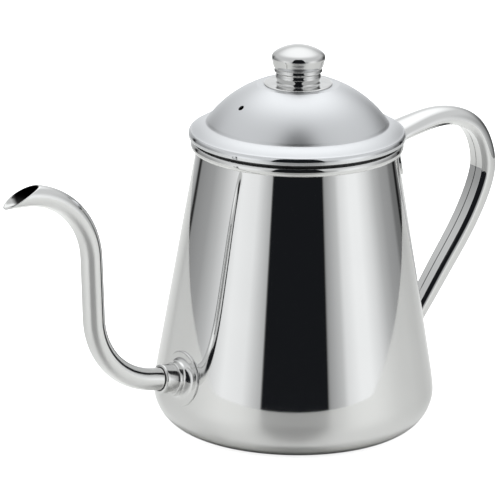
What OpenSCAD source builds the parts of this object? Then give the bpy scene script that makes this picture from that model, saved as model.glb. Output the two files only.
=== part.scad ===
// Gooseneck pour-over kettle with a lift-off domed lid.
// Frame: origin on the body axis at the resting plane, +Z up, spout towards -X, handle towards +X.
// All dimensions in millimetres, angles in degrees.

/* [Body] */
// Radius that the body cone would have at the resting plane
body_r0 = 71.9; // [71:0.1:72.5]
// Radius lost per millimetre of height
body_taper = 0.168; // [0.165:0.001:0.17]
// Radius of the rounded bottom corner
corner_r = 18; // [16:1:20]
// Sheet thickness of the body
body_t = 0.7; // [0.6:0.1:0.8]
// Height of the centre of the rolled rim
rim_z = 140.9; // [138:0.1:143]
// Outer radius of the rolled rim section
curl_r = 2; // [1.8:0.05:2.1]
// Radius of the opening in the bottom flange
base_open_r = 44; // [40:1:45]
// Thickness of the base plate, which is flush with the stand ring
base_t = 1.2; // [1:0.1:1.5]
// Radius of the base plate
base_r = 46.8; // [46:0.1:47]

/* [Spout] */
// Height at which the spout axis leaves the body
spout_z = 32.8; // [31:0.2:36]
// Tube radius at the body
spout_r0 = 5.5; // [5.3:0.05:5.8]
// Tube radius at the mouth
spout_r1 = 5.2; // [4.8:0.05:5.5]
// Tube wall thickness
spout_t = 0.6; // [0.5:0.1:0.8]
// Length of the collar outside the body
collar_len = 12.4; // [10:0.2:13]
// Outer radius of the collar
collar_r = 7; // [6.8:0.1:7.6]
// Radius of the spout flange
spout_flange_r = 13.5; // [12:0.5:15]
// Bend radius of the lower bend
bend_low_r = 38; // [36:0.5:40]
// Bend radius of the upper bend
bend_top_r = 38.2; // [36:0.1:40]
// Straight rise between the two bends
spout_rise = 30.3; // [26:0.1:34]
// Straight run after the upper bend
spout_tip = 11.4; // [9:0.1:13]
// Slope of the mouth cut below the horizontal, from lip to heel
mouth_cut = 22; // [20:1:28]
// Height by which the mouth cut arches above the straight line from lip to heel
mouth_arch = 1.8; // [0:0.1:2.2]

/* [Handle] */
// Sheet thickness of the handle tube
handle_t = 1; // [0.8:0.1:1.2]
// Width of the seam on the inner face
seam_w = 0.3; // [0.2:0.05:0.5]
// Half angle that the upper strap wraps around the body
strap_angle = 36; // [30:1:40]
// Height of the upper strap
strap_h = 14; // [12:0.5:14]
// Thickness of the upper strap
strap_t = 1; // [0.8:0.1:1.2]

/* [Lid] */
// Sheet thickness of the lid
lid_t = 0.7; // [0.6:0.1:0.8]
// Radius of the spherical dome, outside
dome_r = 54.1; // [53:0.1:56]
// Height of the centre of the dome sphere
dome_z = 120.3; // [119:0.1:121]
// Outer radius of the lid flange
flange_r = 52.6; // [52.4:0.1:53]
// Height of the lower edge of the lid lip
lip_z = 144.3; // [144:0.1:144.5]
// Diameter of the steam hole
steam_d = 3; // [2:0.5:4]
// Distance of the steam hole from the axis
steam_at = 33; // [28:1:38]
// Outer radius of the skirt that enters the mouth
skirt_r = 47.1; // [46:0.1:47.2]
// Lower end of the skirt
skirt_z = 133.5; // [130:0.5:136]

/* [Knob] */
// Radius of the polished seat disc
seat_r = 16.6; // [15:0.1:17]
// Largest radius of the knob
knob_r = 13; // [13:0.1:13.3]
// Top of the knob above the resting plane
knob_top = 189.8; // [189.5:0.1:190.8]
// Nominal diameter of the knob screw
screw_d = 4; // [3:1:4]

/* [Hidden] */
$fn = 96;

steel = [0.80, 0.81, 0.82];
satin_steel = [0.72, 0.73, 0.75];
dark_steel = [0.55, 0.56, 0.58];
fit = 0.02;

cone_angle = atan(body_taper);
curl_t = 0.7;
seat_top = 171.3;
seat_t = 0.7;
lid_top = seat_top - seat_t;

// Radius of the outer body surface at height z, grown by d measured square to the surface
function wall_r(z, d = 0) = body_r0 - body_taper * z + d / cos(cone_angle);

// Points of an arc about c from angle a0 to a1
function arc(c, r, a0, a1, n) =
    [for (i = [0:n]) let (a = a0 + (a1 - a0) * i / n) c + r * [cos(a), sin(a)]];

// Outline of a sheet of thickness t that follows the path p, which is its outer face
function path_normal(p, i) =
    let (n = len(p), d = p[min(i + 1, n - 1)] - p[max(i - 1, 0)]) [-d[1], d[0]] / norm(d);
function sheet(p, t) =
    concat(p, [for (i = [len(p) - 1:-1:0]) p[i] + t * path_normal(p, i)]);

// ---- body -------------------------------------------------------------------------------------

// Centre of the bottom corner arc, which touches the resting plane and the cone
corner_x = (body_r0 - body_taper * corner_r) - corner_r / cos(cone_angle);
curl_x = wall_r(rim_z, -body_t) + curl_r;
body_path = concat(
    [[base_open_r, base_t], [base_r, base_t], [base_r + 1.1, 0]],
    arc([corner_x, corner_r], corner_r, -90, cone_angle, 16),
    [[wall_r(rim_z), rim_z]]);

// Puts things on the spout axis, Z out along it from the body surface, s further out
module on_spout_axis(s) {
    translate([-wall_r(spout_z), 0, spout_z]) rotate([0, -90 + cone_angle, 0]) translate([0, 0, s])
        children();
}

module body_shell() {
    color(steel) difference() {
        rotate_extrude() {
            polygon(sheet(body_path, body_t));
            difference() {
                translate([curl_x, rim_z]) circle(curl_r, $fn = 40);
                translate([curl_x, rim_z]) circle(curl_r - curl_t, $fn = 32);
                // the roll stays open below, next to the wall
                translate([wall_r(rim_z), rim_z - curl_r]) square([0.9, curl_r]);
            }
        }
        on_spout_axis(-6) cylinder(r = spout_r0 + fit, h = 12);
    }
}

module base_plate() {
    color(dark_steel) cylinder(r = base_r, h = base_t);
}

// Weld bead that closes the lap between the base plate and the bottom flange, inside
module base_weld() {
    color(dark_steel) rotate_extrude()
        polygon([[base_open_r - 0.7, base_t], [base_open_r, base_t], [base_open_r, base_t + body_t]]);
}

// ---- spout ------------------------------------------------------------------------------------

// Solid bounded by the body cone grown by d
module body_cone(d, z0 = -5, z1 = 90) {
    translate([0, 0, z0]) cylinder(r1 = wall_r(z0, d), r2 = wall_r(z1, d), h = z1 - z0);
}

// Pressed disc that hugs the cone, with a flared neck for the collar
module spout_flange() {
    neck_h = 5.5;
    neck_r = collar_r + 0.9;
    color(steel) difference() {
        union() {
            intersection() {
                on_spout_axis(-4) cylinder(r = spout_flange_r, h = 10);
                body_cone(0.9);
            }
            on_spout_axis(0) rotate_extrude() polygon(concat(
                [[spout_r0 + fit, -2], [10.6, -2], [10.6, 1]],
                arc([neck_r + 2.7, 3.7], 2.7, -90, -180, 6),
                [[neck_r, neck_h], [spout_r0 + fit, neck_h]]));
        }
        body_cone(0);
        on_spout_axis(-5) cylinder(r = spout_r0 + fit, h = 12);
        on_spout_axis(2.5) cylinder(r = collar_r + fit, h = 12);
    }
}

// Sleeve that carries the tube; its outer end is rounded
module spout_collar() {
    color(steel) on_spout_axis(0) rotate_extrude() polygon(concat(
        [[spout_r0 + fit, 2.5], [collar_r, 2.5]],
        arc([collar_r - 1, collar_len - 1], 1, 0, 90, 5),
        [[spout_r0 + fit, collar_len]]));
}

// Line of solder where the tube leaves the collar
module spout_solder() {
    color(dark_steel) on_spout_axis(collar_len) rotate_extrude()
        polygon([[spout_r0 + fit, 0], [spout_r0 + 0.45, 0], [spout_r0 + fit, 0.35]]);
}

// Spout centreline in the XZ plane: [distance out, height, direction angle] at arc length s
bend_start = 18.3;
rise_angle = 87.2;
tip_angle = 2;
low_len = bend_low_r * (rise_angle - cone_angle) * PI / 180;
top_len = bend_top_r * (rise_angle - tip_angle) * PI / 180;
s_rise = bend_start + low_len;
s_top = s_rise + spout_rise;
s_run = s_top + top_len;
s_end = s_run + spout_tip;
low_c = [wall_r(spout_z), spout_z] + bend_start * [cos(cone_angle), sin(cone_angle)]
        - bend_low_r * [sin(cone_angle), -cos(cone_angle)];
rise_0 = low_c + bend_low_r * [sin(rise_angle), -cos(rise_angle)];
rise_1 = rise_0 + spout_rise * [cos(rise_angle), sin(rise_angle)];
top_c = rise_1 - bend_top_r * [-sin(rise_angle), cos(rise_angle)];
function spout_dir(s) =
    s < bend_start ? cone_angle
    : s < s_rise ? cone_angle + (s - bend_start) / bend_low_r * 180 / PI
    : s < s_top ? rise_angle
    : s < s_run ? rise_angle - (s - s_top) / bend_top_r * 180 / PI : tip_angle;
function spout_mid(s) =
    let (a = spout_dir(s))
    s < bend_start ? [wall_r(spout_z), spout_z] + s * [cos(a), sin(a)]
    : s < s_rise ? low_c + bend_low_r * [sin(a), -cos(a)]
    : s < s_top ? rise_0 + (s - s_rise) * [cos(a), sin(a)]
    : s < s_run ? top_c + bend_top_r * [-sin(a), cos(a)]
    : top_c + bend_top_r * [-sin(a), cos(a)] + (s - s_run) * [cos(a), sin(a)];
// Point on the tube at arc length s and angle q round it, d inside the outer face
function spout_point(s, q, d) =
    let (m = spout_mid(s), a = spout_dir(s), r = spout_r0 + (spout_r1 - spout_r0) * s / s_end - d)
    [-(m[0] - r * sin(q) * sin(a)), r * cos(q), m[1] + r * sin(q) * cos(a)];
// Height above the mouth cut, an arched line that starts at the lower lip
mouth_len = 25;
lip_x = -spout_mid(s_end)[0];
mouth_lip_z = spout_mid(s_end)[1] - spout_r1;
function over_cut(p) =
    let (x = p[0] - lip_x, u = min(max(x / mouth_len, 0), 1))
    p[2] - mouth_lip_z - x * tan(mouth_cut) - mouth_arch * 4 * u * (1 - u);
// Arc length at which the line at angle q round the tube reaches the cut, by halving the interval
function cut_at(q, d, s0 = s_end - 35, s1 = s_end + 2, k = 16) =
    k == 0 ? (s0 + s1) / 2
    : let (m = (s0 + s1) / 2)
      over_cut(spout_point(m, q, d)) < 0 ? cut_at(q, d, m, s1, k - 1) : cut_at(q, d, s0, m, k - 1);

tube_sides = 24;
tube_steps = 34;
mouth_steps = 7;
s_in = -2.2;
s_mouth = s_end - 30;
function tube_ring(k, d) = [for (j = [0:tube_sides - 1])
    let (q = 360 * j / tube_sides, w = max(0, k - tube_steps) / mouth_steps,
         s = k <= tube_steps ? s_in + (s_mouth - s_in) * k / tube_steps
             : s_mouth + (cut_at(q, d) - s_mouth) * w)
    spout_point(s, q, d)];

// Faces of a closed swept wall whose rings hold n points each, m rings
function ring_faces(n, m) = concat(
    [for (k = [0:m - 2], j = [0:n - 1]) let (a = k * n + j, b = k * n + (j + 1) % n) [a, b, b + n, a + n]]);

module spout_tube() {
    m = tube_steps + mouth_steps + 1;
    n = tube_sides;
    outer = [for (k = [0:m - 1]) each tube_ring(k, 0)];
    inner = [for (k = [0:m - 1]) each tube_ring(k, spout_t)];
    skin = ring_faces(n, m);
    core = [for (f = skin) [f[3], f[2], f[1], f[0]] + n * m * [1, 1, 1, 1]];
    root = [for (j = [0:n - 1]) let (a = j, b = (j + 1) % n) [b, a, a + n * m, b + n * m]];
    tip = [for (j = [0:n - 1]) let (a = n * (m - 1) + j, b = n * (m - 1) + (j + 1) % n)
        [a, b, b + n * m, a + n * m]];
    color(steel) polyhedron(concat(outer, inner), concat(skin, core, root, tip), convexity = 8);
}

// ---- handle -----------------------------------------------------------------------------------

// Stations down the inner face of the handle: [distance out, height, width, depth]
handle_stations = [
    [54.8, 130.5, 18, 6.5], [56.8, 133.2, 18.5, 7], [61, 135.3, 18.5, 7.8], [70, 137, 17, 8.4],
    [82, 138.7, 15, 8.5], [94, 137, 13.5, 8.6], [103.5, 130.5, 13, 9.2], [108, 119, 13, 10.3],
    [107, 107, 13, 11], [98.5, 88.5, 13, 10.6], [86, 69.5, 12.5, 10.2], [76.5, 55.2, 12, 9.6],
    [70.4, 46, 12, 9]];

// Smooth curve through the stations, t counted in stations
function blend(a, b, c, d, t) =
    0.5 * ((2 * b) + (c - a) * t + (2 * a - 5 * b + 4 * c - d) * t * t
           + (3 * b - a - 3 * c + d) * t * t * t);
function station(t) =
    let (n = len(handle_stations) - 1, i = min(floor(t), n - 1), p = handle_stations)
    blend(p[max(i - 1, 0)], p[i], p[i + 1], p[min(i + 2, n)], t - i);

// Half of the D section as [across, outward] from the seam round to the crown: a flat face,
// a slanted flank up to the widest place, and half an ellipse
flat_share = 0.75;
widest_share = 0.3;
flank = [[0.1, 0.04], [0.35, 0.28], [0.72, 0.62]];
crown_angles = [0, 20, 40, 60, 76, 90];
function d_half(w, t, g) =
    let (half = w / 2, flat = flat_share * half, low = widest_share * t)
    concat([[g / 2, 0], [0.46 * flat, 0], [0.92 * flat, 0]],
           [for (f = flank) [flat + (half - flat) * f[0], low * f[1]]],
           [for (q = crown_angles) [half * cos(q), low + (t - low) * sin(q)]]);
function d_loop(w, t, g) =
    let (h = d_half(w, t, g), n = len(h)) concat(h, [for (i = [n - 2:-1:0]) [-h[i][0], h[i][1]]]);
// Closed outline of the bent sheet: outer skin, then inner skin backwards
function sheet_loop(w, t) =
    let (o = d_loop(w, t, seam_w), i = d_loop(w - 2 * handle_t, t - 2 * handle_t, seam_w), n = len(i))
    concat(o, [for (k = [n - 1:-1:0]) i[k] + [0, handle_t]]);

function handle_tangent(t) =
    let (n = len(handle_stations) - 1, a = station(max(t - 0.02, 0)), b = station(min(t + 0.02, n)))
    [b[0] - a[0], b[1] - a[1]] / norm([b[0] - a[0], b[1] - a[1]]);
function handle_ring(t) =
    let (p = station(t), d = handle_tangent(t), out = [-d[1], d[0]])
    [for (v = sheet_loop(p[2], p[3])) [p[0] + v[1] * out[0], v[0], p[1] + v[1] * out[1]]];
// Slides a point along direction d on to the body cone grown by g
function to_cone(p, d, g) =
    let (a = wall_r(0, g) - body_taper * p[2], b = -body_taper * d[2],
         qa = d[0] * d[0] + d[1] * d[1] - b * b, qb = 2 * (p[0] * d[0] + p[1] * d[1] - a * b),
         qc = p[0] * p[0] + p[1] * p[1] - a * a, root = sqrt(qb * qb - 4 * qa * qc),
         s1 = (-qb - root) / (2 * qa), s2 = (-qb + root) / (2 * qa))
    p + (abs(s1) < abs(s2) ? s1 : s2) * d;

handle_steps = 40;
// The handle's straight-edged ends stand this far off the cone, so that no edge cuts into it
weld_gap = 0.05;
module handle_tube() {
    n = len(handle_stations) - 1;
    foot_dir = [handle_tangent(n)[0], 0, handle_tangent(n)[1]];
    rings = concat(
        [[for (p = handle_ring(0)) to_cone(p, [-0.94, 0, -0.34], strap_t + weld_gap)]],
        [for (k = [0:handle_steps]) handle_ring(n * k / handle_steps)],
        [[for (p = handle_ring(n)) to_cone(p, foot_dir, weld_gap)]]);
    m = len(rings);
    c = len(rings[0]);
    half = c / 2;
    skin = ring_faces(c, m);
    // the two end faces are strips between the outer and inner skins
    top = [for (j = [0:half - 2]) [j + 1, j, c - 1 - j, c - 2 - j]];
    base = c * (m - 1);
    end = [for (j = [0:half - 2]) [base + j, base + j + 1, base + c - 2 - j, base + c - 1 - j]];
    color(steel) polyhedron([for (r = rings) each r], concat(skin, top, end), convexity = 8);
}

// Curved strap under the rim to which the upper end of the handle is welded
module handle_strap() {
    z1 = rim_z - curl_r - 0.4;
    z0 = z1 - strap_h;
    color(steel) intersection() {
        rotate([0, 0, -strap_angle]) rotate_extrude(angle = 2 * strap_angle)
            polygon([[wall_r(z0, fit), z0], [wall_r(z0, strap_t), z0],
                     [wall_r(z1, strap_t), z1], [wall_r(z1, fit), z1]]);
        union() {
            translate([0, 0, (z0 + z1) / 2]) {
                for (a = [-1, 1]) rotate([0, 0, a * (strap_angle - 7.7)]) rotate([0, 90, 0])
                    cylinder(d = strap_h, h = 70);
                translate([0, -27, -strap_h / 2]) cube([70, 54, strap_h]);
            }
        }
    }
}

// ---- lid --------------------------------------------------------------------------------------

function dome_at(r) = dome_z + sqrt(dome_r * dome_r - r * r);
dome_foot = 44;
foot_angle = 90 - asin(dome_foot / dome_r);
// The dome starts where its sphere comes down to the flat top, but never under the seat disc
top_angle = min(asin((lid_top - dome_z) / dome_r), 90 - asin((seat_r + 0.5) / dome_r));
// The flange falls away from the dome and turns down into the lip round an arc of this radius
shoulder_r = 2.4;
shoulder_z = lip_z + 1.5;
// Outer face of the lid, from the screw hole over the dome and the flange down to the lip
lid_path = concat(
    [[screw_d / 2 + 0.2, lid_top], [seat_r + 0.3, lid_top]],
    arc([0, dome_z], dome_r, top_angle, foot_angle, 18),
    [[45, 151.05], [47, 150.3], [49.2, 149.15]],
    arc([flange_r - shoulder_r, shoulder_z], shoulder_r, 60, 0, 8),
    [[flange_r, lip_z]]);

module lid_dome() {
    steam_tilt = asin(steam_at / dome_r);
    color(satin_steel) difference() {
        rotate_extrude() polygon(sheet(lid_path, -lid_t));
        translate([0, 0, dome_z]) rotate([0, -steam_tilt, 0]) translate([0, 0, dome_r - 5])
            cylinder(d = steam_d, h = 10);
    }
}

// Ring welded inside the flange: it rests on the rolled rim and centres the lid in the mouth
module lid_skirt() {
    floor_z = rim_z + curl_r + fit;
    wall = 0.6;
    leg_r = 50.6;
    leg_top = 147.3;
    color(satin_steel) rotate_extrude() polygon([
        [skirt_r - wall, skirt_z], [skirt_r, skirt_z], [skirt_r, floor_z], [leg_r, floor_z],
        [leg_r, leg_top], [leg_r - wall, leg_top], [leg_r - wall, floor_z + wall],
        [skirt_r - wall, floor_z + wall]]);
}

// ---- knob -------------------------------------------------------------------------------------

module knob_seat() {
    color(steel) translate([0, 0, lid_top]) rotate_extrude() polygon([
        [screw_d / 2 + 0.2, 0], [seat_r, 0], [seat_r, seat_t - 0.45], [seat_r - 0.3, seat_t - 0.15],
        [seat_r - 0.9, seat_t], [screw_d / 2 + 0.2, seat_t]]);
}

split_z = 177;
spigot_r = 10.2;
insert_r = 4.5;
// Outside of the base and of the cap below its shoulder: [radius, height above seat or split]
base_bead = [[10.9, 0], [10.5, 0.2], [10.3, 0.7], [10.3, 1.3], [10.6, 2.4], [10.9, 3.3],
             [10.85, 4], [10.7, 4.6]];
cap_flank = [[11.3, fit], [11.5, 0.3], [11.44, 1], [11.28, 1.8], [11.72, 2.45], [11.95, 3],
             [12.3, 4.2], [12.93, 6.3]];
module knob_base() {
    color(steel) rotate_extrude() polygon(concat(
        [[screw_d / 2 + 0.2, seat_top]],
        [for (p = base_bead) [p[0], seat_top + p[1]]],
        [[10.7, split_z], [spigot_r, split_z], [spigot_r, split_z + 4],
         [insert_r + fit, split_z + 4], [insert_r + fit, seat_top + 2],
         [screw_d / 2 + 0.2, seat_top + 2]]));
}

// Three arcs that meet without a corner: shoulder, brow above it, and crown
module knob_cap() {
    shoulder = 2.6;
    brow = 8;
    brow_x = knob_r - shoulder - (brow - shoulder) * cos(45);
    crown_r = brow_x / cos(60) + brow;
    brow_z = knob_top - crown_r + (crown_r - brow) * sin(60);
    color(steel) rotate_extrude() polygon(concat(
        [[spigot_r + fit, split_z + fit]],
        [for (p = cap_flank) [p[0], split_z + p[1]]],
        arc([knob_r - shoulder, brow_z + (brow - shoulder) * sin(45)], shoulder, 0, 45, 6),
        arc([brow_x, brow_z], brow, 49, 60, 2),
        arc([0, knob_top - crown_r], crown_r, 64, 90, 8),
        [[0, knob_top - 1.4]],
        arc([0, knob_top - 1.4 - crown_r], crown_r, 90, 68, 6),
        [[9.6, split_z + 8.4], [spigot_r + fit, split_z + 6.4]]));
}

module knob_insert() {
    color(dark_steel) translate([0, 0, seat_top + 2 + fit]) difference() {
        cylinder(r = insert_r, h = 8);
        translate([0, 0, -1]) cylinder(d = screw_d + 2 * fit, h = 10);
    }
}

// Underside of the flat pad at the top of the lid
washer_z = lid_top - lid_t;
module flat_washer() {
    color(dark_steel) translate([0, 0, washer_z - 1 - fit]) difference() {
        cylinder(r = 6, h = 1);
        translate([0, 0, -1]) cylinder(d = screw_d + 0.3, h = 3);
    }
}

// Split spring washer
module lock_washer() {
    color(dark_steel) translate([0, 0, washer_z - 2 - 2 * fit]) difference() {
        cylinder(r = 3.8, h = 1);
        translate([0, 0, -1]) cylinder(d = screw_d + 0.2, h = 3);
        rotate([0, 0, 30]) translate([0, -0.3, -1]) cube([6, 0.6, 3]);
    }
}

module knob_screw() {
    head_h = 2.4;
    under = washer_z - 2 - 3 * fit;
    color(dark_steel) difference() {
        union() {
            translate([0, 0, under - head_h]) cylinder(r = 3.9, h = head_h);
            translate([0, 0, under - 0.01]) cylinder(d = screw_d, h = 12.5);
        }
        // cross recess
        for (a = [0, 90]) rotate([0, 0, a])
            translate([-2.2, -0.5, under - head_h - 1]) cube([4.4, 1, 2.4]);
    }
}

body_shell();
base_plate();
base_weld();
spout_flange();
spout_collar();
spout_tube();
spout_solder();
handle_tube();
handle_strap();
lid_dome();
lid_skirt();
knob_seat();
knob_base();
knob_cap();
knob_insert();
knob_screw();
flat_washer();
lock_washer();
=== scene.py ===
"""Gooseneck kettle: its visible pieces, their steels and a small studio.

Sizes are in millimetres and angles in degrees, as in the CAD, until mesh_piece() makes metres of them.
"""
from math import acos, asin, atan, cos, degrees, hypot, pi, radians, sin, sqrt, tan

import bmesh
import bpy
import numpy as np
from mathutils import Matrix, Vector


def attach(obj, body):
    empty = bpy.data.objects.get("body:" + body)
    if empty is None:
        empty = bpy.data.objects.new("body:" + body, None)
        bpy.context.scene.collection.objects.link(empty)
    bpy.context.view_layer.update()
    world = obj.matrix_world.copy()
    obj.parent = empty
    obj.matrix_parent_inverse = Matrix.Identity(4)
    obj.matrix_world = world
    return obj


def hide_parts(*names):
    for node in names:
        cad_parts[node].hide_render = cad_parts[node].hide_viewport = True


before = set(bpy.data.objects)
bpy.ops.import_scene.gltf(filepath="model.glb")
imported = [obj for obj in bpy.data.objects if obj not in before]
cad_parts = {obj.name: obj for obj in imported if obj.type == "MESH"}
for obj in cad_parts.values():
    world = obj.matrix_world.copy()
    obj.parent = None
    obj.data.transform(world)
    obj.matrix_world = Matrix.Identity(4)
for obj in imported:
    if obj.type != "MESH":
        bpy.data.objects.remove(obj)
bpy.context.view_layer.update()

MM = 0.001

# ---- driving dimensions, the CAD's own ----------------------------------------------------------

# Wall: radius of its cone at the floor, loss of radius per height, bottom corner, sheet
BODY_R0, BODY_TAPER, CORNER_R, BODY_T = 71.9, 0.168, 18.0, 0.7
# Rolled rim: height of its middle, radius of the roll, sheet of the roll
RIM_Z, CURL_R, CURL_T = 140.9, 2.0, 0.7
# Bottom: opening that the base plate closes, thickness of that plate, start of the stand ring
BASE_OPEN_R, BASE_T, BASE_R = 44.0, 1.2, 46.8
# Spout: height of its root, radius at the root and at the tip, sheet
SPOUT_Z, SPOUT_R0, SPOUT_R1, SPOUT_T = 32.8, 5.5, 5.2, 0.6
COLLAR_LEN, COLLAR_R, SPOUT_FLANGE_R, FLANGE_T = 12.4, 7.0, 13.5, 0.9
# Spout's way: radii of its two bends, straight between them, straight tip
BEND_LOW_R, BEND_TOP_R, SPOUT_RISE, SPOUT_TIP = 38.0, 38.2, 30.3, 11.4
BEND_START, RISE_ANGLE, TIP_ANGLE = 18.3, 87.2, 2.0
# Mouth: slope of the cut, height of its arch, length of the cut
MOUTH_CUT, MOUTH_ARCH, MOUTH_LEN = 22.0, 1.8, 25.0
# Strap: half of the angle that it spans, height, sheet; width of the handle's seam
STRAP_ANGLE, STRAP_H, STRAP_T, SEAM_W = 36.0, 14.0, 1.0, 0.3
# Dome: sheet, radius and height of its sphere, radius of its foot
LID_T, DOME_R, DOME_Z, DOME_FOOT = 0.7, 54.1, 120.3, 44.0
LID_TOP, FLANGE_R, LIP_Z = 170.6, 52.6, 144.3
STEAM_D, STEAM_AT, SKIRT_R, SKIRT_Z = 3.0, 33.0, 47.1, 133.5
SEAT_R, SEAT_TOP = 16.6, 171.3
# Knob: widest radius, top, height of the split between its two parts, spigot, screw hole
KNOB_R, KNOB_TOP, SPLIT_Z, SPIGOT_R, SCREW_R = 13.0, 189.8, 177.0, 10.2, 2.2
# Gap between parts that fit together
FIT = 0.02

# The cone's slope, the steps of a turned piece, and the turn that makes an edge between faces hard
CONE = degrees(atan(BODY_TAPER))
AROUND = 288
SHARP = 32


def dcos(a):
    """Cosine of an angle in degrees."""
    return cos(radians(a))


def dsin(a):
    """Sine of an angle in degrees."""
    return sin(radians(a))


# The wall starts to turn under at EASE_Z, so the corner's arc meets it at EASE_ANGLE
EASE_Z, EASE_ANGLE = 31.0, 6.6
CORNER_TOP = CORNER_R * (1 + dsin(EASE_ANGLE))
EASE = (BODY_TAPER - tan(radians(EASE_ANGLE))) / (EASE_Z - CORNER_TOP)


def wall_r(z, d=0.0):
    """Radius of the body wall at height z, grown by d square to it."""
    return BODY_R0 - BODY_TAPER * z - EASE * max(0.0, EASE_Z - z) ** 2 / 2 + d / dcos(CONE)


def arc(cx, cz, r, a0, a1, n, rz=None):
    """Points of an arc, or of an ellipse's arc where rz is given."""
    turn = [a0 + (a1 - a0) * i / n for i in range(n + 1)]
    return [(cx + r * dcos(a), cz + (rz or r) * dsin(a)) for a in turn]


def spline(stations, n):
    """n + 1 points of the natural cubic spline through the stations, each a row of numbers."""
    p = np.array(stations, float)
    m = len(p)
    a = np.eye(m) * 4
    a[0, 0] = a[-1, -1] = 2
    for i in range(m - 1):
        a[i, i + 1] = a[i + 1, i] = 1
    rise = np.array([3 * (p[min(i + 1, m - 1)] - p[max(i - 1, 0)]) for i in range(m)])
    slope = np.linalg.solve(a, rise)
    points = []
    for t in np.linspace(0, m - 1, n + 1):
        i = min(int(t), m - 2)
        u = t - i
        points.append(
            p[i] * (1 + 2 * u) * (1 - u) ** 2
            + slope[i] * u * (1 - u) ** 2
            + p[i + 1] * u * u * (3 - 2 * u)
            + slope[i + 1] * u * u * (u - 1)
        )
    return points


def line(a, b, n):
    """n points from a towards b, without b."""
    return [tuple(p + (q - p) * i / n for p, q in zip(a, b)) for i in range(n)]


# ---- meshes -------------------------------------------------------------------------------------

def finish_mesh(mesh, sharp):
    """Outward normals, smooth faces, and hard edges where two faces turn by more than sharp."""
    bm = bmesh.new()
    bm.from_mesh(mesh)
    bmesh.ops.remove_doubles(bm, verts=bm.verts, dist=1e-7)
    bmesh.ops.recalc_face_normals(bm, faces=bm.faces)
    for f in bm.faces:
        f.smooth = True
    for e in bm.edges:
        e.smooth = len(e.link_faces) == 2 and e.calc_face_angle(0) < radians(sharp)
    bm.to_mesh(mesh)
    bm.free()


def mesh_piece(name, points, faces, sharp=SHARP, place=None):
    """A piece made of points in millimetres, put by the matrix place if one is given."""
    mesh = bpy.data.meshes.new(name)
    mesh.from_pydata([Vector(p) for p in points], [], faces)
    mesh.transform(place or Matrix.Identity(4))
    mesh.transform(Matrix.Scale(MM, 4))
    finish_mesh(mesh, sharp)
    piece = bpy.data.objects.new(name, mesh)
    bpy.context.scene.collection.objects.link(piece)
    return piece


def grid_faces(rings, across, loop_rings, loop_across):
    """Four-sided faces between neighbouring points of rings times across points."""
    faces = []
    for i in range(rings if loop_rings else rings - 1):
        for j in range(across if loop_across else across - 1):
            a, b = i * across, (i + 1) % rings * across
            k = (j + 1) % across
            faces.append((a + j, a + k, b + k, b + j))
    return faces


def turned(name, loop, place=None, around=AROUND):
    """A closed outline of (radius, height) turned about the Z axis."""
    points = [
        (r * cos(2 * pi * j / around), r * sin(2 * pi * j / around), z)
        for r, z in loop
        for j in range(around)
    ]
    piece = mesh_piece(name, points, grid_faces(len(loop), around, True, True), place=place)
    drop_flat_faces(piece)
    return piece


def drop_flat_faces(piece):
    """Takes out the faces without area that a turned outline leaves on the axis."""
    bm = bmesh.new()
    bm.from_mesh(piece.data)
    bmesh.ops.dissolve_degenerate(bm, dist=1e-7, edges=bm.edges)
    flat = [f for f in bm.faces if f.calc_area() < 1e-14]
    bmesh.ops.delete(bm, geom=flat, context="FACES_ONLY")
    bm.to_mesh(piece.data)
    bm.free()


def cut(piece, cutter):
    """Takes the cutter's solid away from the piece, for good."""
    change = piece.modifiers.new("cut", "BOOLEAN")
    change.operation = "DIFFERENCE"
    change.solver = "EXACT"
    change.object = cutter
    shaped = piece.evaluated_get(bpy.context.evaluated_depsgraph_get())
    mesh = bpy.data.meshes.new_from_object(shaped)
    piece.modifiers.clear()
    piece.data = mesh
    finish_mesh(mesh, SHARP)
    bpy.data.objects.remove(cutter)


def round_cutter(name, r, z0, z1, place, around):
    """A cylinder along Z that is there only to be cut away."""
    ring = arc(0, 0, r, 0, 360, around)[:-1]
    points = [(x, y, z) for z in (z0, z1) for x, y in ring]
    caps = [tuple(range(around)), tuple(range(2 * around - 1, around - 1, -1))]
    return mesh_piece(name, points, grid_faces(2, around, False, True) + caps, place=place)


def sheet(path, t):
    """Closed outline of a sheet of thickness t whose outer face follows the path."""
    n = len(path)
    inner = []
    for i in range(n):
        a, b = path[max(i - 1, 0)], path[min(i + 1, n - 1)]
        size = hypot(b[0] - a[0], b[1] - a[1])
        inner.append((path[i][0] - t * (b[1] - a[1]) / size, path[i][1] + t * (b[0] - a[0]) / size))
    return list(path) + inner[::-1]


# ---- body ---------------------------------------------------------------------------------------

def spout_axis():
    """Frame of the spout's root: Z out along its axis, X up the wall."""
    turn = Matrix.Rotation(radians(CONE - 90), 4, "Y")
    return Matrix.Translation((-wall_r(SPOUT_Z), 0, SPOUT_Z)) @ turn


def wall_line(d, z0, z1):
    """Points up the wall, close together where the spout's hole is cut."""
    heights = [z0, *range(22, 46), 50, 60, 80, 100, 120, z1]
    return [(wall_r(z, d), z) for z in heights]


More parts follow.
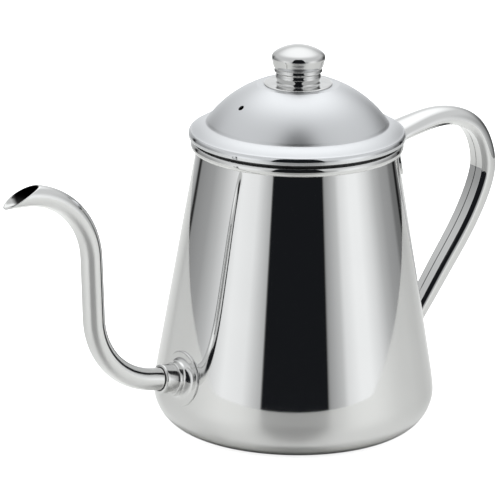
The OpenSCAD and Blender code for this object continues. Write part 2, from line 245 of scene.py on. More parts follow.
def make_body():
    """The drawn wall: stand ring, bottom corner, cone, and the rim rolled outwards."""
    corner_x = wall_r(CORNER_TOP) - CORNER_R * dcos(EASE_ANGLE)
    foot, top = CORNER_TOP + 0.5, RIM_Z - 2
    curl_x = wall_r(RIM_Z, -BODY_T) + CURL_R
    roll_end, roll_h = -105, 2.4
    roll_z = RIM_Z + CURL_R - roll_h
    outline = [(BASE_OPEN_R, BASE_T), (BASE_R, BASE_T), (BASE_R + 0.6, 0.25)]
    outline += arc(corner_x, CORNER_R, CORNER_R, -99, EASE_ANGLE, 48)[1:]
    outline = [p for p in outline if p[1] >= 0]
    outline += wall_line(0, foot, top)
    outline += arc(curl_x, roll_z, CURL_R - CURL_T, 180, roll_end, 40, roll_h - CURL_T)
    outline += arc(curl_x, roll_z, CURL_R, roll_end, 180, 56, roll_h)
    outline += wall_line(-BODY_T, foot, top)[::-1]
    outline += arc(corner_x, CORNER_R, CORNER_R - BODY_T, EASE_ANGLE, -90, 30)
    outline += [(BASE_R, BASE_T + BODY_T), (BASE_OPEN_R, BASE_T + BODY_T)]
    body = turned("body", outline)
    cut(body, round_cutter("hole", SPOUT_R0 + FIT, -6, 6, spout_axis(), 64))
    return body


# ---- spout --------------------------------------------------------------------------------------

# How far along the spout's axis the collar starts, inside the flange
COLLAR_FOOT = 2.5


def flange_point(rho, lift, q, follow):
    """A point on the spout's root disc. follow says how far it keeps to the cone's own bulge."""
    place = spout_axis()
    x, y, s = rho * dcos(q), rho * dsin(q), 0.0
    for _ in range(6):
        p = place @ Vector((x, y, s))
        s -= (hypot(p.x, p.y) - wall_r(p.z)) * dcos(CONE)
    return place @ Vector((x, y, s * follow + lift))


def make_spout_flange():
    """Pressed disc that hugs the cone, with a flared neck round the collar."""
    neck_r, neck_top, flare, edge = COLLAR_R + 0.9, 5.5, 2.7, 0.45
    rim = [(SPOUT_FLANGE_R, FIT), (SPOUT_FLANGE_R, edge)]
    rim += arc(SPOUT_FLANGE_R - edge, edge, edge, 15, 90, 6)
    disc = [(SPOUT_FLANGE_R - 1.2 - 0.4 * i, FLANGE_T) for i in range(4)]
    neck = arc(neck_r + flare, FLANGE_T + flare, flare, -90, -180, 18)
    lip = arc(neck_r - 0.3, neck_top - 0.3, 0.3, 0, 90, 5)
    bore = [(COLLAR_R + FIT, neck_top), (COLLAR_R + FIT, COLLAR_FOOT), (SPOUT_R0 + FIT, COLLAR_FOOT)]
    under = [(SPOUT_R0 + FIT, FIT), (8.0, FIT), (10.0, FIT), (12.0, FIT)]
    outline = rim + disc + neck + lip + bore + under
    around = 144
    points = []
    for rho, lift in outline:
        flat_part = max(0.0, min(1.0, (rho - neck_r) / flare))
        follow = 1.0 if lift == FIT else flat_part ** 2 * (3 - 2 * flat_part)
        points += [flange_point(rho, lift, 360 * j / around, follow) for j in range(around)]
    return mesh_piece("spout_flange_disc", points, grid_faces(len(outline), around, True, True))


def make_spout_collar():
    """Sleeve that carries the tube, rounded at its outer end."""
    edge = 0.9
    outline = [(SPOUT_R0 + FIT, COLLAR_FOOT), (COLLAR_R, COLLAR_FOOT)]
    outline += line((COLLAR_R, COLLAR_FOOT + 1), (COLLAR_R, COLLAR_LEN - edge), 6)
    outline += arc(COLLAR_R - edge, COLLAR_LEN - edge, edge, 0, 90, 10)
    outline += [(SPOUT_R0 + 0.25, COLLAR_LEN), (SPOUT_R0 + FIT, COLLAR_LEN - 0.5)]
    return turned("spout_sleeve", outline, spout_axis(), around=128)


class Spout:
    """The tube's centreline in the XZ plane, as two straights and two bends, and its mouth cut."""

    low_len = BEND_LOW_R * radians(RISE_ANGLE - CONE)
    top_len = BEND_TOP_R * radians(RISE_ANGLE - TIP_ANGLE)
    s_rise = BEND_START + low_len
    s_top = s_rise + SPOUT_RISE
    s_run = s_top + top_len
    s_end = s_run + SPOUT_TIP

    @classmethod
    def direction(cls, s):
        """Angle above the horizontal at arc length s."""
        if s < BEND_START:
            return CONE
        if s < cls.s_rise:
            return CONE + degrees((s - BEND_START) / BEND_LOW_R)
        if s < cls.s_top:
            return RISE_ANGLE
        if s < cls.s_run:
            return RISE_ANGLE - degrees((s - cls.s_top) / BEND_TOP_R)
        return TIP_ANGLE

    @classmethod
    def middle(cls, s):
        """Distance out from the axis and height of the centreline at arc length s."""
        def go(p, a, run):
            """End of a straight that starts at p."""
            return (p[0] + run * dcos(a), p[1] + run * dsin(a))

        def bend(p, a0, a1, r):
            """End of a bend of signed radius r that starts at p."""
            return (p[0] + r * (dsin(a1) - dsin(a0)), p[1] - r * (dcos(a1) - dcos(a0)))

        a = cls.direction(s)
        root = (wall_r(SPOUT_Z), SPOUT_Z)
        if s < BEND_START:
            return go(root, CONE, s)
        foot = go(root, CONE, BEND_START)
        if s < cls.s_rise:
            return bend(foot, CONE, a, BEND_LOW_R)
        rise = bend(foot, CONE, RISE_ANGLE, BEND_LOW_R)
        if s < cls.s_top:
            return go(rise, RISE_ANGLE, s - cls.s_rise)
        neck = go(rise, RISE_ANGLE, SPOUT_RISE)
        if s < cls.s_run:
            return bend(neck, RISE_ANGLE, a, -BEND_TOP_R)
        return go(bend(neck, RISE_ANGLE, TIP_ANGLE, -BEND_TOP_R), TIP_ANGLE, s - cls.s_run)

    @classmethod
    def radius(cls, s):
        """Radius of the outer face at arc length s."""
        return SPOUT_R0 + (SPOUT_R1 - SPOUT_R0) * s / cls.s_end

    @classmethod
    def point(cls, s, q, d=0.0):
        """Point of the wall at arc length s and angle q round it, d inside the outer face."""
        m, a = cls.middle(s), cls.direction(s)
        r = cls.radius(s) - d
        return (-(m[0] - r * dsin(q) * dsin(a)), r * dcos(q), m[1] + r * dsin(q) * dcos(a))

    @classmethod
    def over_cut(cls, p):
        """Height above the mouth cut, an arched line from the lower lip to the heel."""
        lip = cls.middle(cls.s_end)
        x = p[0] + lip[0]
        u = min(max(x / MOUTH_LEN, 0), 1)
        cut_z = lip[1] - SPOUT_R1 + x * tan(radians(MOUTH_CUT)) + MOUTH_ARCH * 4 * u * (1 - u)
        return p[2] - cut_z

    @classmethod
    def mouth(cls, q, d):
        """Arc length at which the line at angle q round the tube meets the mouth cut."""
        s0, s1 = cls.s_end - 35, cls.s_end + 2
        for _ in range(24):
            mid = (s0 + s1) / 2
            if cls.over_cut(cls.point(mid, q, d)) < 0:
                s0 = mid
            else:
                s1 = mid
        return (s0 + s1) / 2


def make_spout_tube():
    """The swan-neck tube with its wall, its rounded lip and its oblique mouth."""
    sides, plain, oblique, lip_steps = 96, 150, 30, 6
    s_in, s_mouth = -2.2, Spout.s_end - 30
    turns = [360 * j / sides for j in range(sides)]

    def skin(d):
        """Rings of one face of the sheet, d inside the outer one, from the root to the mouth."""
        end = [Spout.mouth(q, d) for q in turns]
        part = [
            [Spout.point(s_in + (s_mouth - s_in) * k / plain, q, d) for q in turns]
            for k in range(plain)
        ]
        part += [
            [Spout.point(s_mouth + (e - s_mouth) * k / oblique, q, d) for q, e in zip(turns, end)]
            for k in range(oblique + 1)
        ]
        return part

    rings = skin(0.0)
    for k in range(1, lip_steps):
        a = 180 * k / lip_steps
        d = SPOUT_T * (1 - dcos(a)) / 2
        bulge = 0.22 * dsin(a)
        rings.append([Spout.point(Spout.mouth(q, d) + bulge, q, d) for q in turns])
    rings += skin(SPOUT_T)[::-1]
    points = [p for ring in rings for p in ring]
    return mesh_piece("spout_swan_neck", points, grid_faces(len(rings), sides, True, True), 60)


# ---- handle -------------------------------------------------------------------------------------

# Down the inner face of the handle: distance out, height, width, depth
HANDLE = [
    (54.8, 130.5, 18, 6.5), (56.8, 133.2, 18.5, 7), (61, 135.3, 18.5, 7.8), (70, 137, 17, 8.4),
    (82, 138.7, 15, 8.5), (94, 137, 13.5, 8.6), (103.5, 130.5, 13, 9.2), (108, 119, 13, 10.3),
    (107, 107, 13, 11), (98.5, 88.5, 13, 10.6), (86, 69.5, 12.5, 10.2), (76.5, 55.2, 12, 9.6),
    (70.4, 46, 12, 9),
]

# Slanted flank from the flat face to the widest place, as shares of its breadth and depth
HANDLE_FLANK = [
    (0.05, 0.01), (0.12, 0.05), (0.18, 0.12), (0.35, 0.28),
    (0.55, 0.46), (0.72, 0.62), (0.85, 0.76), (0.95, 0.9),
]

# Share of the depth and of the half width at which the flank and the flat face end
WIDEST_AT, FLAT_SHARE = 0.30, 0.75


def d_section(width, depth):
    """Closed D outline of (across, outward), with the seam as a notch in its flat inner face."""
    low, half = WIDEST_AT * depth, width / 2
    flat = FLAT_SHARE * half
    seam, seam_edge, seam_depth = SEAM_W / 2, 0.12, 0.7
    side = [(seam, seam_depth), (seam, seam_edge), (seam + seam_edge, 0)]
    side += [(flat * f, 0.0) for f in (0.15, 0.35, 0.55, 0.75, 0.9, 0.96)]
    side += [(flat + (half - flat) * u, low * v) for u, v in HANDLE_FLANK]
    side += [(half * dcos(q), low + (depth - low) * dsin(q)) for q in range(0, 91, 5)]
    return side + [(-x, z) for x, z in side[-2::-1]]


def to_cone(p, d, grow):
    """Slides point p along direction d on to the body cone grown by grow."""
    a, b = wall_r(p[2], grow), -BODY_TAPER * d[2]
    qa = d[0] ** 2 + d[1] ** 2 - b * b
    qb = 2 * (p[0] * d[0] + p[1] * d[1] - a * b)
    qc = p[0] ** 2 + p[1] ** 2 - a * a
    root = sqrt(qb * qb - 4 * qa * qc)
    s = min(((-qb - root) / (2 * qa), (-qb + root) / (2 * qa)), key=abs)
    return tuple(u + s * v for u, v in zip(p, d))


def make_handle():
    """The bent D tube, from the strap over the hand's place and down to the wall."""
    steps, weld_gap = 220, 0.05
    way = spline(HANDLE, steps)
    rings = []
    for k, (x, z, width, depth) in enumerate(way):
        a, b = way[max(k - 1, 0)], way[min(k + 1, steps)]
        size = hypot(b[0] - a[0], b[1] - a[1])
        out = (-(b[1] - a[1]) / size, (b[0] - a[0]) / size)
        rings.append([(x + v * out[0], u, z + v * out[1]) for u, v in d_section(width, depth)])
    foot = Vector((way[-1][0] - way[-2][0], 0, way[-1][1] - way[-2][1])).normalized()
    rings.insert(0, [to_cone(p, (-0.94, 0, -0.34), STRAP_T + weld_gap) for p in rings[0]])
    rings.append([to_cone(p, tuple(foot), weld_gap) for p in rings[-1]])
    n = len(rings[0])
    points = [p for ring in rings for p in ring]
    faces = grid_faces(len(rings), n, False, True)
    faces += [tuple(range(n)), tuple(range(len(points) - 1, len(points) - n - 1, -1))]
    return mesh_piece("handle_grip_tube", points, faces, 40)


def make_strap():
    """Thin round-ended strap on the cone, its edge rounded over."""
    middle = RIM_Z - CURL_R - 0.4 - STRAP_H / 2
    round_r, edge, brim_t = STRAP_H / 2, 0.35, 0.5
    reach = radians(STRAP_ANGLE) * wall_r(middle)
    long_n, high_n = 96, 24

    def rim_gap(u, v):
        """Distance inside the strap's outline."""
        over = max(0.0, abs(u) - (reach - round_r))
        return max(0.0, round_r - hypot(over, v))

    def place(u, v, d):
        """Point u along the strap and v above its middle, d off the wall."""
        z = middle + v
        r, a = wall_r(z, d), u / wall_r(middle)
        return (r * cos(a), r * sin(a), z)

    points = []
    for side in (0, 1):
        for i in range(long_n + 1):
            u = -reach * cos(pi * i / long_n)
            over = max(0.0, abs(u) - (reach - round_r))
            high = sqrt(max(round_r ** 2 - over ** 2, 1e-6))
            for j in range(high_n + 1):
                v = -high * cos(pi * j / high_n)
                inside = min(rim_gap(u, v) / edge, 1)
                d = FIT + side * (brim_t + (STRAP_T - brim_t - FIT) * sqrt(1 - (1 - inside) ** 2))
                points.append(place(u, v, d))
    row = high_n + 1
    size = (long_n + 1) * row
    faces = grid_faces(long_n + 1, row, False, False)
    faces += [tuple(size + k for k in f) for f in faces]
    brim = [i * row for i in range(long_n + 1)] + [long_n * row + j for j in range(1, row)]
    brim += [i * row + high_n for i in range(long_n - 1, -1, -1)]
    brim += [j for j in range(high_n - 1, 0, -1)]
    for a, b in zip(brim, brim[1:] + brim[:1]):
        faces.append((a, b, b + size, a + size))
    return mesh_piece("handle_wall_strap", points, faces, 50)


# ---- lid ----------------------------------------------------------------------------------------

def make_lid():
    """Dome, foot groove, rounded flange and lip in one spun sheet, with the steam hole."""
    top_a = degrees(asin((LID_TOP - DOME_Z) / DOME_R))
    foot_gap = 0.6
    foot_a = degrees(acos((DOME_FOOT - foot_gap) / DOME_R))
    path = line((SCREW_R, LID_TOP), (SEAT_R + 0.3, LID_TOP), 3)
    path += arc(0, DOME_Z, DOME_R, top_a, foot_a, 90)
    slope = [(44.1, 151.5), (45.0, 151.05), (47.0, 150.3), (49.2, 149.15), (51.4, 147.75)]
    steps = 8
    run = spline(path[-2:] + slope, steps * (len(slope) + 1))
    path += [tuple(p) for p in run[steps + 1 : -1]]
    brow, lip = 2.4, 0.35
    path += arc(FLANGE_R - brow, LIP_Z + 1.5, brow, 60, 0, 24)
    path += arc(FLANGE_R - lip, LIP_Z + lip, lip, 0, -80, 6)
    outline = sheet(path, -LID_T)
    lid = turned("lid_shell", outline)
    tilt = Matrix.Rotation(-asin(STEAM_AT / DOME_R), 4, "Y")
    place = Matrix.Translation((0, 0, DOME_Z)) @ tilt
    cut(lid, round_cutter("steam", STEAM_D / 2, DOME_R - 4, DOME_R + 4, place, 40))
    return lid


def make_skirt():
    """Ring under the flange: it rests on the rolled rim and centres the lid in the mouth."""
    floor_z, wall = RIM_Z + CURL_R + FIT, 0.6
    leg_r, leg_top, bend = 50.6, 147.3, 0.5
    outline = arc(SKIRT_R - wall / 2, SKIRT_Z + wall / 2, wall / 2, 180, 360, 8)
    outline += line((SKIRT_R, SKIRT_Z + 1), (SKIRT_R, floor_z), 4) + [(SKIRT_R, floor_z)]
    outline += arc(leg_r - bend, floor_z + bend, bend, -90, 0, 6) + [(leg_r, leg_top)]
    outline += [(leg_r - wall, leg_top), (leg_r - wall, floor_z + wall)]
    outline += [(SKIRT_R - wall, floor_z + wall)]
    return turned("lid_inner_ring", outline)


# ---- knob ---------------------------------------------------------------------------------------

def make_seat():
    """Mirror disc between the knob and the lid."""
    edge, brim = 1.0, 0.25
    outline = [(SCREW_R, LID_TOP), (SEAT_R - 0.2, LID_TOP), (SEAT_R - 0.05, LID_TOP + 0.15)]
    outline += arc(SEAT_R - edge, LID_TOP + brim, edge, 0, 90, 12, SEAT_TOP - LID_TOP - brim)
    outline += [(SEAT_R - 2.5, SEAT_TOP), (SEAT_R - 4, SEAT_TOP), (SCREW_R, SEAT_TOP)]
    return turned("knob_seat_disc", outline)


def make_knob_base():
    """Lower half of the knob, with a foot bead and a waist."""
    insert_r, spigot_h, floor_t = 4.5 + FIT, 4, 2
    outline = [(SCREW_R, SEAT_TOP)]
    foot = [(10.9, 0.0), (10.62, 0.15), (10.4, 0.45), (10.25, 0.9), (10.32, 1.4)]
    bead = [(10.6, 2.1), (10.88, 2.75), (11.0, 3.3), (10.92, 4.0), (10.72, 4.6), (10.68, 5.2)]
    outline += [(r, SEAT_TOP + z) for r, z in spline(foot + bead, 60)]
    outline += [(SPIGOT_R, SPLIT_Z), (SPIGOT_R, SPLIT_Z + spigot_h), (insert_r, SPLIT_Z + spigot_h)]
    outline += [(insert_r, SEAT_TOP + floor_t), (SCREW_R, SEAT_TOP + floor_t)]
    return turned("knob_lower", outline)


def make_knob_cap():
    """Upper half of the knob: flared side, rounded shoulder, shallow crown."""
    wall, shoulder, brow = 1.4, 2.6, 8.0
    brow_from, brow_to = 45, 60
    brow_x = KNOB_R - shoulder - (brow - shoulder) * dcos(brow_from)
    crown_r = brow_x / dcos(brow_to) + brow
    brow_z = KNOB_TOP - crown_r + (crown_r - brow) * dsin(brow_to)
    shoulder_z = brow_z + (brow - shoulder) * dsin(brow_from)
    ring = [(11.4, FIT), (11.62, 0.2), (11.68, 0.5), (11.6, 1.0), (11.46, 1.45), (11.44, 1.75)]
    flank = [(11.6, 2.05), (11.92, 2.4), (12.12, 2.9), (12.35, 3.7), (12.6, 4.8), (12.84, 5.8)]
    brim = [(12.94, 6.3)]
    outline = [(SPIGOT_R + FIT, SPLIT_Z + FIT)]
    outline += [(r, SPLIT_Z + z) for r, z in spline(ring + flank + brim, 72)]
    outline += arc(KNOB_R - shoulder, shoulder_z, shoulder, 0, brow_from, 18)
    outline += arc(brow_x, brow_z, brow, brow_from, brow_to, 12)[1:]
    outline += arc(0, KNOB_TOP - crown_r, crown_r, brow_to, 90, 32)[1:]
    outline += [(0, KNOB_TOP - wall)]
    outline += arc(0, KNOB_TOP - wall - crown_r, crown_r, 88, 68, 6)
    outline += [(9.6, SPLIT_Z + 8.4), (SPIGOT_R + FIT, SPLIT_Z + 6.4)]
    return turned("knob_upper", outline)


# ---- steels -------------------------------------------------------------------------------------

class Nodes:
    """A short way to write node trees."""

    def __init__(self, name):
        self.material = bpy.data.materials.new(name)
        self.material.use_nodes = True
        self.tree = self.material.node_tree
        self.tree.nodes.clear()

    def add(self, kind, **values):
        """A new node; each value goes to the input of its name, or else to the node's setting."""
        node = self.tree.nodes.new("ShaderNode" + kind)
        for key, value in values.items():
            if key in node.inputs:
                self.put(node.inputs[key], value)
            else:
                setattr(node, key, value)
        return node

    def put(self, socket, value):
        """Links a socket to another one, or gives it a plain value."""
        if isinstance(value, bpy.types.NodeSocket):
            self.tree.links.new(value, socket)
        else:
            socket.default_value = value

    def math(self, operation, a, b=0.0, c=0.0):
        node = self.add("Math", operation=operation)
        for socket, value in zip(node.inputs, (a, b, c)):
            self.put(socket, value)
        return node.outputs[0]

    def spread(self, value, low, high, to_low, to_high, smooth=False):
        """Maps low..high on to to_low..to_high, clamped."""
        node = self.add("MapRange", interpolation_type="SMOOTHSTEP" if smooth else "LINEAR")
        for socket, v in zip(node.inputs, (value, low, high, to_low, to_high)):
            self.put(socket, v)
        return node.outputs[0]

    def noise(self, vector, scale, detail=3.0):
        return self.add("TexNoise", Scale=scale, Detail=detail, Vector=vector).outputs["Fac"]

    def place(self, scale=(1, 1, 1)):
        """Coordinates in metres, stretched."""
        where = self.add("TexCoord").outputs["Object"]
        return self.add("Mapping", Vector=where, Scale=scale).outputs[0]

    def from_axis(self, parts):
        """Distance from the Z axis of a point given by its separated coordinates."""
        squares = [self.math("POWER", parts[i], 2.0) for i in (0, 1)]
        return self.math("SQRT", self.math("ADD", *squares))

    def turned_place(self):
        """Distance from the Z axis and height, so that marks run round the axis."""
        parts = self.add("SeparateXYZ", Vector=self.place()).outputs
        return self.add("CombineXYZ", X=self.from_axis(parts), Y=0.0, Z=parts[2]).outputs[0]

    def bump(self, height, strength, distance):
        return self.add("Bump", Height=height, Strength=strength, Distance=distance).outputs[0]

    def mix(self, factor, a, b, kind="MIX"):
        """Colour a blended into colour b by a factor."""
        node = self.add("Mix", data_type="RGBA", blend_type=kind)
        self.put(node.inputs["Factor"], factor)
        self.put(node.inputs[6], a)
        self.put(node.inputs[7], b)
        return node.outputs[2]

    def tone(self, factor, dark, light, share=1.0):
        """Mixes two colours, each at a share of its brightness, by a factor."""
        a, b = [(*(share * v for v in color), 1) for color in (dark, light)]
        return self.mix(factor, a, b)

    def surface(self, shader):
        """Ends the tree with a shader and hands back the material."""
        out = self.add("OutputMaterial")
        self.put(out.inputs["Surface"], shader.outputs[0])
        return self.material

    def both(self, one, other):
        """Two shaders' light added up."""
        total = self.add("AddShader")
        self.put(total.inputs[0], one.outputs[0])
        self.put(total.inputs[1], other.outputs[0])
        return total

    def steel(self, color, rough, bump):
        shader = self.add("BsdfPrincipled", Metallic=1.0, Roughness=rough, Normal=bump)
        self.put(shader.inputs["Base Color"], color)
        return self.surface(shader)


def polished_steel(name="polished_steel", rough=0.028, turned_marks=True, share=1.0):
    """Mirror polish: faint clouds, hairlines left by the wheel, a share of the full shine."""
    n = Nodes(name)
    cloud = n.noise(n.place(), 38, 4)
    where = n.turned_place() if turned_marks else n.place((1, 1, 0.06))
    hair = n.noise(where, 9000 if turned_marks else 2500, 2)
    color = n.tone(cloud, (0.775, 0.775, 0.770), (0.815, 0.815, 0.808), share)
    haze = n.math("MULTIPLY_ADD", cloud, 0.02, rough - 0.01)
    haze = n.math("MULTIPLY_ADD", hair, 0.02, haze)
    return n.steel(color, haze, n.bump(hair, 0.02, 0.00002))


def seat_steel():
    """Pressed disc: polished, a little hazy, and not quite flat."""
    n = Nodes("pressed_steel")
    wave = n.noise(n.place(), 110, 1)
    haze = n.math("MULTIPLY_ADD", n.noise(n.place(), 60, 3), 0.04, 0.07)
    color = n.tone(wave, (0.74, 0.74, 0.735), (0.78, 0.78, 0.775))
    return n.steel(color, haze, n.bump(wave, 0.5, 0.0006))


def lid_steel():
    """Satin dome and flange above a polished lip; the change runs over a millimetre."""
    n = Nodes("satin_steel")
    height = n.add("SeparateXYZ", Vector=n.place()).outputs[2]
    satin_from = LIP_Z + 2.7
    satin = n.spread(height, satin_from * MM, (satin_from + 1) * MM, 0.0, 1.0, True)
    grain = n.noise(n.place(), 2600, 2)
    cloud = n.noise(n.place(), 30, 3)
    rough = n.math("MULTIPLY_ADD", cloud, 0.04, 0.335)
    rough = n.math("MULTIPLY_ADD", satin, n.math("SUBTRACT", rough, 0.04), 0.04)
    color = n.tone(cloud, (0.765, 0.775, 0.790), (0.795, 0.805, 0.820))
    bump = n.bump(grain, n.math("MULTIPLY", satin, 0.06), 0.00004)
    return n.steel(color, rough, bump)


def raw_steel(name="raw_steel", share=1.0):
    """Unpolished parts: turning marks and uneven grey, a share of the full grey."""
    n = Nodes(name)
    cloud = n.noise(n.place(), 90, 5)
    marks = n.noise(n.turned_place(), 2600, 3)
    color = n.tone(cloud, (0.50, 0.50, 0.51), (0.66, 0.66, 0.66), share)
    rough = n.math("MULTIPLY_ADD", marks, 0.18, 0.24)
    return n.steel(color, rough, n.bump(marks, 0.15, 0.0001))


def weld_steel():
    """Weld: dull, rippled, a little dark."""
    n = Nodes("weld_steel")
    ripple = n.noise(n.place(), 900, 3)
    color = n.tone(ripple, (0.20, 0.19, 0.18), (0.46, 0.44, 0.42))
    return n.steel(color, n.math("MULTIPLY_ADD", ripple, 0.3, 0.35), n.bump(ripple, 0.4, 0.0002))


def bore_steel():
    """Inside of the tube: unpolished, with painted shade that darkens it away from the lip."""
    n = Nodes("bore_steel")
    out = n.add("SeparateXYZ", Vector=n.place()).outputs[0]
    deep = n.spread(out, -0.1600, -0.1565, 0.0, 1.0, True)
    # Painted shade: the grey falls to near black deeper in from the lip, where the tube's inside lies in
    # shade
    color = n.tone(deep, (0.70, 0.70, 0.69), (0.035, 0.034, 0.033))
    rough = n.math("MULTIPLY_ADD", deep, 0.3, 0.12)
    return n.steel(color, rough, n.bump(n.noise(n.place(), 1500, 3), 0.1, 0.0001))


# ---- studio -------------------------------------------------------------------------------------

# Where the lens stands: angle round the kettle and above the floor, distance, roll
VIEW_AZIMUTH, VIEW_HEIGHT, VIEW_DISTANCE, VIEW_ROLL = -35.0, 17.2, 2500.0, 0.76
# Height on the axis that the distance is taken from, and how far right and up of it the kettle's
# middle is, as the lens sees it
VIEW_Z, VIEW_RIGHT, VIEW_UP = 75.0, -22.1, 11.05


def view_frame():
    """Right, up and forward of the lens, as unit vectors."""
    a, e = radians(VIEW_AZIMUTH), radians(VIEW_HEIGHT)
    forward = Vector((-sin(a) * cos(e), cos(a) * cos(e), -sin(e)))
    right = Vector((cos(a), sin(a), 0))
    return right, right.cross(forward), forward


def make_camera():
    """Long lens, which shows the kettle from a little above."""
    right, up, forward = view_frame()
    target = Vector((0, 0, VIEW_Z))
    aim = target + VIEW_RIGHT * right + VIEW_UP * up
    camera = bpy.data.objects.new("camera", bpy.data.cameras.new("camera"))
    camera.data.lens = 370
    camera.data.sensor_width = 36
    camera.location = (target - VIEW_DISTANCE * forward) * MM
    look = (aim * MM - camera.location).to_track_quat("-Z", "Y")
    camera.rotation_mode = "QUATERNION"
    camera.rotation_quaternion = look @ Matrix.Rotation(radians(VIEW_ROLL), 4, "Z").to_quaternion()
    camera.data.clip_end = 50
    bpy.context.scene.collection.objects.link(camera)
    bpy.context.scene.camera = camera


# Brightness of the tent's wall by angle from the lens, left and right: the dark slit that the
# lens looks through, a dim flag beside it, the bright cloth, and the dim room at the back
TENT_LEFT = [(26, 0.50), (34, 0.70), (42, 0.94), (60, 1.02), (72, 0.82), (86, 0.58), (102, 0.39)]
TENT_RIGHT = [
    (30, 0.36), (42, 0.62), (46, 0.86), (58, 1.05), (68, 1.05), (80, 0.84), (92, 0.55), (104, 0.39),
]
# Behind the kettle: the dim room, on each side a dark gap at the cloth's edge, and the pale backdrop
BACK_LEFT = [(129.5, 0.29), (133, 0.02), (137, 0.03), (141, 0.38), (157, 0.60), (170, 0.95)]
BACK_RIGHT = [
    (118, 0.33), (123, 0.19), (132, 0.17), (135, 0.01), (139, 0.02), (143, 0.18), (155, 0.12), (170, 0.95),
]
SLIT_LEFT, SLIT_RIGHT, SLIT_TOP, BACKDROP = -25.2, 28.0, 72, 0.95
# Roof: brightness, and the heights between which the wall turns into it
ROOF, ROOF_FROM, ROOF_TO = 0.72, 6, 36
# Bright patch of the roof above and behind the kettle: brightness, height, inner and outer reach
TOP_LIGHT, TOP_HEIGHT, TOP_CORE, TOP_EDGE = 1.32, 63.0, 4.0, 38.0
# The cloth is a little cooler than white
CLOTH_TINT = (0.985, 1.0, 1.01, 1)


def grey(value):
    """Opaque grey of a brightness."""
    return (value, value, value, 1)


def fill_wall(ramp):
    """Writes the brightness of the tent's wall, all the way round, into a colour ramp."""
    left = [(-a, v) for a, v in (TENT_LEFT + BACK_LEFT)[::-1]]
    stops = left + [(SLIT_LEFT, 0.0), (SLIT_RIGHT, 0.0)] + TENT_RIGHT + BACK_RIGHT
    for e in list(ramp.elements)[1:]:
        ramp.elements.remove(e)
    ramp.elements[0].position = 0.0
    ramp.elements[0].color = grey(BACKDROP)
    for a, v in stops:
        ramp.elements.new(0.5 + a / 360).color = grey(v)


def tent_material():
    """Light of the tent by direction from the kettle, in the lens's own frame."""
    n = Nodes("tent_cloth")
    toward = n.add("TexCoord").outputs["Object"]
    parts = n.add("SeparateXYZ", Vector=toward).outputs
    angle = n.math("ARCTAN2", parts[0], n.math("MULTIPLY", parts[1], -1.0))
    wall = n.add("ValToRGB")
    fill_wall(wall.color_ramp)
    n.put(wall.inputs[0], n.spread(angle, -pi, pi, 0.0, 1.0))
    height = n.math("ARCTAN2", parts[2], n.from_axis(parts))
    roof = n.spread(height, radians(ROOF_FROM), radians(ROOF_TO), 0.0, 1.0, True)
    cloth = n.mix(roof, wall.outputs[0], grey(ROOF))
    near_top = n.add("VectorMath", operation="DOT_PRODUCT")
    unit = n.add("VectorMath", operation="NORMALIZE", Vector=toward)
    n.put(near_top.inputs[0], unit.outputs[0])
    n.put(near_top.inputs[1], (0, dcos(TOP_HEIGHT), dsin(TOP_HEIGHT)))
    patch = n.spread(near_top.outputs["Value"], dcos(TOP_EDGE), dcos(TOP_CORE), 0.0, 1.0, True)
    lit = n.mix(patch, cloth, grey(TOP_LIGHT))
    tinted = n.mix(1.0, lit, CLOTH_TINT, "MULTIPLY")
    return n.surface(n.add("Emission", Color=tinted, Strength=1.0))


def stage_object(name, mesh, material, **seen):
    """A thing of the studio, turned to the lens's frame. seen says which rays meet it."""
    thing = bpy.data.objects.new(name, mesh)
    mesh.materials.append(material)
    bpy.context.scene.collection.objects.link(thing)
    thing.rotation_euler = (0, 0, radians(VIEW_AZIMUTH))
    for ray, value in seen.items():
        setattr(thing, "visible_" + ray, value)


def make_tent():
    """Cloth dome round the kettle, open in front where the lens looks in."""
    radius, low = 2.6, -50
    columns, rows = 240, 64
    points, faces = [], []
    for i in range(rows + 1):
        e = low + (90 - low) * i / rows
        for j in range(columns):
            a = 360 * (j + 0.5) / columns - 180
            points.append((radius * dcos(e) * dsin(a), -radius * dcos(e) * dcos(a), radius * dsin(e)))
    for i in range(rows):
        e = low + (90 - low) * (i + 0.5) / rows
        for j in range(columns):
            a = 360 * (j + 1) / columns - 180
            if SLIT_LEFT < a < SLIT_RIGHT and e < SLIT_TOP:
                continue
            k = (j + 1) % columns
            this_row, next_row = i * columns, (i + 1) * columns
            faces.append((this_row + j, this_row + k, next_row + k, next_row + j))
    mesh = bpy.data.meshes.new("tent")
    mesh.from_pydata(points, [], faces)
    stage_object("tent", mesh, tent_material(), camera=False, shadow=False)


def disc_mesh(name, radius, z, ahead=0.0):
    """A flat disc whose centre is moved ahead, towards the lens."""
    corners = 128
    turns = [2 * pi * i / corners for i in range(corners)]
    ring = [(radius * cos(a), radius * sin(a) - ahead, z) for a in turns]
    mesh = bpy.data.meshes.new(name)
    mesh.from_pydata(ring, [], [tuple(range(corners))])
    return mesh


def floor_paper():
    """Plain matt paper with the faintest tooth, lit from below so that it stays white."""
    n = Nodes("floor_paper")
    tooth = n.noise(n.place(), 300, 3)
    matt = n.add("BsdfDiffuse", Roughness=0.5, Color=n.tone(tooth, (0.94,) * 3, (0.95,) * 3))
    return n.surface(n.both(matt, n.add("Emission", Strength=0.8)))


def table_board():
    """Lacquered board: matt colour under a blurred mirror, so it shows the tent's dark slit too."""
    n = Nodes("table_board")
    shade, gloss = 0.26, 0.74
    matt = n.add("BsdfDiffuse", Color=(shade, shade, shade * 0.98, 1))
    coat = n.add("BsdfAnisotropic", Color=(gloss, gloss, gloss * 0.98, 1), Roughness=0.4)
    return n.surface(n.both(matt, coat))


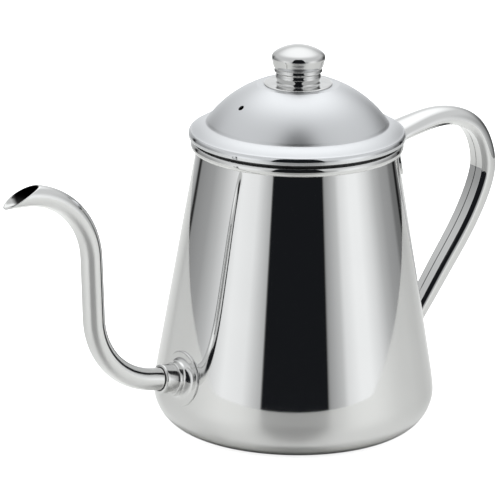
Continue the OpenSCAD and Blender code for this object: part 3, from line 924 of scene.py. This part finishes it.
def floor_fill():
    """Soft square light in front, high up, that no mirror shows."""
    ahead, height, aim_z = 0.5, 1.9, 0.08
    light = bpy.data.lights.new("floor_fill", "AREA")
    light.shape = "SQUARE"
    light.size = 2.4
    light.energy = 24.0
    lamp = bpy.data.objects.new("floor_fill", light)
    _, _, forward = view_frame()
    level = Vector((forward.x, forward.y, 0)).normalized()
    lamp.location = Vector((0, 0, height)) - level * ahead
    toward = Vector((0, 0, aim_z)) - lamp.location
    lamp.rotation_euler = toward.to_track_quat("-Z", "Y").to_euler()
    lamp.visible_glossy = False
    bpy.context.scene.collection.objects.link(lamp)


def make_studio():
    """Tent, the board that the steel mirrors, and the endless white floor that the lens sees."""
    make_tent()
    floor = disc_mesh("floor", 9.0, 0.0)
    stage_object("floor", floor, floor_paper(), glossy=False, shadow=False, diffuse=False)
    board = disc_mesh("table", 0.68, -0.0002, ahead=0.08)
    stage_object("table", board, table_board(), camera=False)
    floor_fill()
    world = bpy.data.worlds.new("room")
    world.use_nodes = True
    world.node_tree.nodes["Background"].inputs[0].default_value = (0.010, 0.011, 0.013, 1)
    bpy.context.scene.world = world
    bpy.context.scene.view_settings.view_transform = "Standard"


# ---- putting it together ------------------------------------------------------------------------

def dress(piece, body, node, material):
    """Gives a piece its body and its steel, and hides the CAD node that it stands for."""
    piece.data.materials.clear()
    piece.data.materials.append(material)
    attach(piece, body)
    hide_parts(node)
    return piece


def line_bore(tube, material):
    """Gives the inner faces of the spout their own steel."""
    lengths = np.linspace(-3, Spout.s_end + 1, 700)
    way = np.array([Spout.middle(s) for s in lengths])
    tube.data.materials.append(material)
    for face in tube.data.polygons:
        p = face.center / MM
        nearest = np.argmin((way[:, 0] + p.x) ** 2 + (way[:, 1] - p.z) ** 2)
        out, height = way[nearest]
        from_middle = hypot(hypot(p.x + out, p.z - height), p.y)
        inside = from_middle < Spout.radius(lengths[nearest]) - 0.6 * SPOUT_T
        face.material_index = int(inside)


def main():
    make_camera()
    make_studio()
    mirror = polished_steel()
    tube_steel = polished_steel("polished_tube_steel", 0.11, False)
    root_steel = polished_steel("polished_root_steel", 0.13, False)
    # Painted shade: the knob's mirror steel is dimmed to nine tenths of its brightness
    knob_steel = polished_steel("polished_knob_steel", 0.03, True, 0.90)
    satin, raw, weld, bore = lid_steel(), raw_steel(), weld_steel(), bore_steel()
    # Painted shade: the lid's ring shows only in the dark gap under the lip, so its grey is cut to a tenth
    ring_steel = raw_steel("ring_painted_shade_steel", 0.10)
    # Painted shade: the solder ring's grey is cut to six hundredths for the dark gap where the tube enters
    # the collar
    solder = raw_steel("solder_painted_shade_steel", 0.06)

    dress(make_body(), "kettle", "body_shell", mirror)
    dress(make_spout_flange(), "kettle", "spout_flange", root_steel)
    dress(make_spout_collar(), "kettle", "spout_collar", root_steel)
    tube = dress(make_spout_tube(), "kettle", "spout_tube", tube_steel)
    line_bore(tube, bore)
    dress(make_handle(), "kettle", "handle_tube", mirror)
    dress(make_strap(), "kettle", "handle_strap", mirror)
    dress(make_lid(), "lid", "lid_dome", satin)
    dress(make_skirt(), "lid", "lid_skirt", ring_steel)
    dress(make_seat(), "lid", "knob_seat", seat_steel())
    dress(make_knob_base(), "lid", "knob_base", knob_steel)
    dress(make_knob_cap(), "lid", "knob_cap", knob_steel)

    # Pieces that hardly show keep the CAD's own mesh
    kept = {
        "base_plate": raw, "base_weld": weld, "spout_solder": solder, "knob_insert": raw,
        "knob_screw": raw, "flat_washer": raw, "lock_washer": raw,
    }
    for node, material in kept.items():
        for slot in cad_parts[node].material_slots:
            slot.material = material


main()
